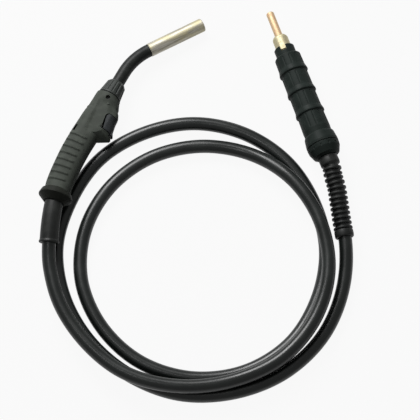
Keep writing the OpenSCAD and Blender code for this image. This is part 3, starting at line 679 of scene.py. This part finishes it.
def block(name, low, size, sign):
    """A rectangular body from its low corner and its size."""
    x, y, z = low
    w, l, h = size
    return prism(name, [(x, y), (x + w, y), (x + w, y + l), (x, y + l)], sign * z, sign * (z + h))


def post(name, x, y, r, low, high, sign):
    """A round post or hole square to the parting plane."""
    return prism(name, circle(x, y, r, 40), sign * low, sign * high)


def shell_wall(name, sign):
    """Curved wall of one shell, from the rear end to the front."""
    ys = [0, 0.7, 1.5, 3, 5, 7, 9, 11, 13, 15, 16.5]
    for k in range(RIB_COUNT):
        rib = RIB_FIRST + k * RIB_PITCH
        ys += [rib + d for d in (-2.8, -2.3, -1.8, -1.3, -0.8, -0.3, 0.3, 0.9, 1.5, 2.1, 2.7, 3.3,
                                 3.8, 5.8)]
    ys = [y for y in ys if y < 97] + [97 + 1.55 * k for k in range(49)] + [HANDLE_L]
    steps = 44
    groove, shut = 0.16, 0.02  # half the gap at the parting line, outside and inside
    rings = []
    for y in ys:
        outer = [skin_point(y, 180 * i / steps, 0) for i in range(steps + 1)]
        inner = [skin_point(y, 180 * i / steps, WALL) for i in range(steps, -1, -1)]
        for row, gap in ((outer, groove), (inner, shut)):
            for i in (0, -1):
                row[i] = (row[i][0], row[i][1], gap)
        rings.append([(x, yy, sign * z) for x, yy, z in outer + inner])
    return skin(name, rings, False, TORCH)


def finger_ledge(sign):
    """The beak under the trigger, with a thin rim and a top level with the panel."""
    rim = [(10, 97.6), (18.9, 100.9), (34.4, 109.7), (35.2, 112.4), (33.6, 116), (28, 121),
           (12, 121)]
    flank = [(20, 115.6), (27, 121), (20, 122)]
    top = [(0, 103), (13, 109), (19, 115), (19, 120), (0, 116)]
    levels = ((rim, 0.05), (rim, 1.2), (flank, 11.5), (top, PANEL_Z))
    points = [(x, y, sign * z) for outline, z in levels for x, y in outline]
    return rounded(hull("ledge", points), 0.8)


def handle_half(name, sign, finish, node):
    """One shell of the handle: wall, collars, finger ledge, rooms, bosses and spigot."""
    shell = shell_wall(name, sign)
    nub = rounded(post("nub", *NUB, 1.9, 11, 15.9, sign), 0.35, 60)
    united(shell, finger_ledge(sign), nub)
    cut(shell,
        prism("opening", slot_outline(), -sign, sign * 39),
        block("hook room", (SLOT_X, SLOT_LOW - 3, -1), (30, 10, 8.6), sign),
        block("switch room", (-12, 97, -1), (SLOT_X + 13, 32, 9.9), sign),
        block("wire room", (0, 90, -1), (13.6, 20, 4.3), sign),
        block("side slot", (-18.6, 98.5, 3), (3.6, 10.5, 12), sign))
    boss = post("boss", *PIVOT, 3, 6.5, 11.2, sign)
    cut(boss, post("pin hole", *PIVOT, 1.52, 0, 10.9, sign))
    # profiles of (radius, distance from the rear end)
    front_face = [(12.9, 161.5), (16.9, 161.5), (16.9, 172.8), (12.9, 172.8)]
    spigot = [(9.6, 161.5), (13, 161.5), (13, 182.6), (12.6, 183), (9.6, 183)]
    rear_face = [(12.42, 0.4), (17.8, 0.4), (17.8, 3.4), (12.42, 3.4)]
    collar = half_turned("front face", front_face, TORCH, sign)
    if sign > 0:
        for part in (shell, collar):
            cut(part, post("screw hole", *SCREW, 2.45, 5, 25, sign),
                post("screw well", *SCREW, 3.4, 13, 25, sign))
    parts = [half_turned("spigot", spigot, TORCH, sign),
             half_turned("rear face", rear_face, REAR, sign), collar, boss]
    if sign < 0:
        for peg in SWITCH_PEGS:
            parts += [post("switch post", *peg, 1.9, 3.2, 13.4, sign),
                      post("switch peg", *peg, 1.15, -2.2, 4.2, sign)]
    merged(shell, *parts)
    return finished(shell, finish, stands_for=[node], sharp=32)


# ---------------------------------------------------------------- the trigger

def trigger_shape():
    """The trigger: a hollow cap just under the panel, a finger hook and the switch's presser."""
    left_gap, low_gap, high_gap, under_panel = 0.95, 0.6, 1, 1.1

    def front_x(y):
        return looked_up(y, [(119, 33.4), (124, 32.7), (129, 31.6), (138, 29.9), (145, 29.4)], 1)

    def left_x(y):
        return slot_left(y) + left_gap + (PIVOT[1] - y) * PRESS

    def top_z(x):
        return PANEL_Z - under_panel - 0.3 * max(0, x - 23)

    rings = []
    low, high = SLOT_LOW + low_gap + 10 * PRESS, SLOT_HIGH - high_gap
    cuts, spans = 24, 41
    for k in range(cuts + 1):
        y = low + (high - low) * k / cuts
        w, t = front_x(y) - axis_x(y), looked_up(y, STATIONS, 3) - 0.8
        n = looked_up(y, STATIONS, 4)
        a = acos(((left_x(y) - axis_x(y)) / w) ** (n / 2))
        row = []
        for i in range(spans + 1):
            b = a * (2 * i / spans - 1)
            x, z = axis_x(y) + w * cos(b) ** (2 / n), t * abs(sin(b)) ** (2 / n)
            row.append((x, y, (1 if b > 0 else -1) * min(z, top_z(x))))
        rings.append(row)
    cap = skin("trigger_shape", rings, False, TORCH)
    cut(cap, prism("inside", [(0, SLOT_LOW - 1), (22.2, SLOT_LOW - 1), (28.6, SLOT_LOW + 3),
                              (27.2, SLOT_LOW + 11), (18.2, SLOT_LOW + 16), (0, SLOT_LOW + 16)],
                   -9.5, 9.5))
    hook = rounded(prism("hook", [(26, 125), (32.3, 125), (34, 121.6), (34.8, 119.6), (34.4, 118.3),
                                  (33.2, 117.7), (31.4, 118.7), (26.6, 122)], -6, 6), 0.4)
    presser = prism("presser", [(16.2, 118.3), (29.2, 118.3), (29.2, 122.3), (16.2, 122.3)],
                    -2.4, 2.4)
    around = circle(*PIVOT, 3.4, 32)
    beside = [(x + 2, y - PIVOT[1] + SLOT_HIGH - 5) for x, y in around]
    tail = hull("tail", [(x, y, z) for x, y in around + beside for z in (-5.5, 5.5)])
    united(cap, hook, presser, tail)
    return cut(cap, post("pin hole", *PIVOT, 1.54, -20, 20, 1))


# ---------------------------------------------------------------- the sleeve and the bend relief

def sleeve(finish):
    """Rubber sleeve behind the handle: a head held in the rear wall, and a rolled lip at its end."""
    head = 8  # length of the part inside the handle
    line = smooth_line([in_torch(8.6 - head * sin(REAR_TURN), head * cos(REAR_TURN))]
                       + [in_torch(*p) for p in ROUTE_IN_TORCH[6:]], 1)
    end = running(line)[-1]
    r, lip = 13.2, 4.6
    rows = [(0, 14.2), (0.4, 14.6), (4.4, 14.6), (4.42, 12.4), (8.6, 12.4), (8.8, r)]
    rows += [(8.8 + (end - 14.2) * k / 26, r) for k in range(1, 27)]
    for k in range(9):
        rolled = 1.2 * sin(pi * min(1, k / 5) / 2) - (0.9 * ((k - 5) / 3) ** 2 if k > 5 else 0)
        rows.append((end - lip + lip * k / 8, r + rolled))
    tube = hose("sleeve_rubber", line, rows, CABLE_R + 0.3, 56)
    return finished(tube, finish, stands_for=["cable_sleeve"], sharp=40)


def bend_relief(finish):
    """Ribbed bend relief behind the plug: rings with slots between them, bridged in turn."""
    shorter = 5  # the relief ends this far before the end of its route
    line = smooth_line([on_plug(BOOT_START + 0.3), on_plug(BOOT_START + BOOT_STRAIGHT)]
                       + [Vector(p) for p in ROUTE_IN_BOOT[::-1]], 1)[:-shorter]
    end = running(line)[-1]
    ribs, collar, cuff, r = 13, 14, 11, 11.4
    pitch = (end - collar - cuff) / ribs

    def slotted(k):
        def radius(a):
            away = abs(((a + (pi / 2 if k % 2 else 0)) % pi) - pi / 2)
            return r - 0.85 * ease((away - 0.35) / 0.25) - 0.1
        return radius

    rows = [(0.2, r + 2.3), (0.7, r + 2.7), (collar - 3, r + 2.7), (collar - 1.6, r + 2.2)]
    for k in range(ribs):
        deep = slotted(k)

        def halfway(a, deep=deep):
            return (deep(a) + r + 1.7) / 2

        rows += [(collar + (k + share) * pitch, radius) for share, radius in (
            (0, deep), (0.36, deep), (0.42, halfway), (0.48, r + 1.9), (0.56, r + 2.2),
            (0.8, r + 2.2), (0.88, r + 1.9), (0.94, halfway))]
    rows += [(end - cuff, r), (end - cuff + 0.9, r + 1.7), (end - cuff + 2, r + 2.1),
             (end - 4, r + 2.2), (end - 1.4, r + 2), (end - 0.5, r + 1.6), (end, r + 1)]
    boot = hose("bend_relief", line, rows, CABLE_R + 0.65, 48)
    return finished(boot, finish, stands_for=["plug_boot"], sharp=50)


# ---------------------------------------------------------------- making it

camera()

rubber = soft_rubber()
jacket_rubber = cable_rubber()
free_cable, cable_path = cable(jacket_rubber)
boot = bend_relief(rubber)
sleeve(rubber)
running(cable_path)[-1] * MM
[p * MM for p in cable_path]

handle = moulded_plastic("handle plastic", (0.052, 0.058, 0.050), (0.100, 0.108, 0.096))
black = moulded_plastic("black plastic", (0.013, 0.015, 0.0135), (0.050, 0.053, 0.048),
                        rough=0.4, depth=0.03)
plug_black = moulded_plastic("plug plastic", (0.016, 0.021, 0.019), (0.070, 0.078, 0.072),
                             rough=0.45, depth=0.03)
ring_black = moulded_plastic("ring plastic", (0.017, 0.0185, 0.0155), (0.050, 0.053, 0.048),
                             rough=0.5, depth=0.03)
nut_black = moulded_plastic("nut plastic", (0.030, 0.034, 0.031), (0.120, 0.128, 0.122),
                            rough=0.45, depth=0.03, shine=0.2)
trigger_black = moulded_plastic("trigger plastic", (0.036, 0.039, 0.041), (0.070, 0.073, 0.076),
                                rough=0.45, depth=0.03)
red_plastic = moulded_plastic("red plastic", (0.45, 0.04, 0.03), (0.6, 0.12, 0.1))
wire_blue = moulded_plastic("wire insulation", (0.02, 0.05, 0.22), (0.1, 0.14, 0.3))
handle_half("handle_shell_upper", 1, handle, "handle_upper")
handle_half("handle_shell_lower", -1, handle, "handle_lower")
finished(trigger_shape(), trigger_black, "trigger", ["trigger"], 32)

copper = bare_metal("copper", (0.66, 0.50, 0.32), (0.62, 0.44, 0.29), 0.56, PLUG)
inner_copper = bare_metal("inner copper", (0.76, 0.42, 0.26), (0.50, 0.26, 0.15), 0.3)
brass = bare_metal("brass", (0.54, 0.49, 0.33), (0.46, 0.41, 0.27), 0.52, PLUG)
steel = bare_metal("steel", (0.52, 0.53, 0.55), (0.38, 0.38, 0.38), 0.3)
# near-black steel for the set screw: the darkness is painted shade that stands in for the shade inside
# the screw's well
well_shade_steel = bare_metal("steel painted with well shade", (0.035, 0.035, 0.037), (0.02, 0.02, 0.02), 0.5)
tinned = bare_metal("tinned copper", (0.70, 0.68, 0.62), (0.55, 0.50, 0.42), 0.32, PLUG)
FINISHES = {
    "gas_nozzle": nickelled_nozzle(), "nozzle_insulator": fired_ceramic(), "nozzle_clip": steel,
    "gas_diffuser": brass, "contact_tip": inner_copper, "neck_conductor": inner_copper,
    "neck_jacket": neck_coating(), "wire_liner": steel, "neck_nut": nut_black,
    "neck_set_screw": well_shade_steel, "trigger_pin": steel, "switch_body": black,
    "switch_plunger": red_plastic, "switch_terminals": brass, "switch_wires": wire_blue,
    "power_connector": brass, "cable_crimp": tinned, "locking_ring": ring_black,
    "plug_pin": copper, "plug_body": brass, "plug_collar": plug_black, "plug_grip": plug_black,
    "plug_crimp": tinned, "plug_nut": plug_black}
for name, finish in FINISHES.items():
    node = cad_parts[name]
    if not node.material_slots:
        node.data.materials.append(finish)
    for place in node.material_slots:
        place.material = finish

FLOOR = [(-4000, -4000, 0), (4400, -4000, 0), (4400, 4000, 0), (-4000, 4000, 0)]
floor = shape("floor", FLOOR, [[0, 1, 2, 3]])
floor.data.materials.append(floor_finish())

surroundings()
lamp("key", (-1.1, 0.93, 1.45), 1.0, 56)
lamp("top", (-0.3, -0.4, 2.25), 0.5, 4)
scene.view_settings.view_transform = "Standard"
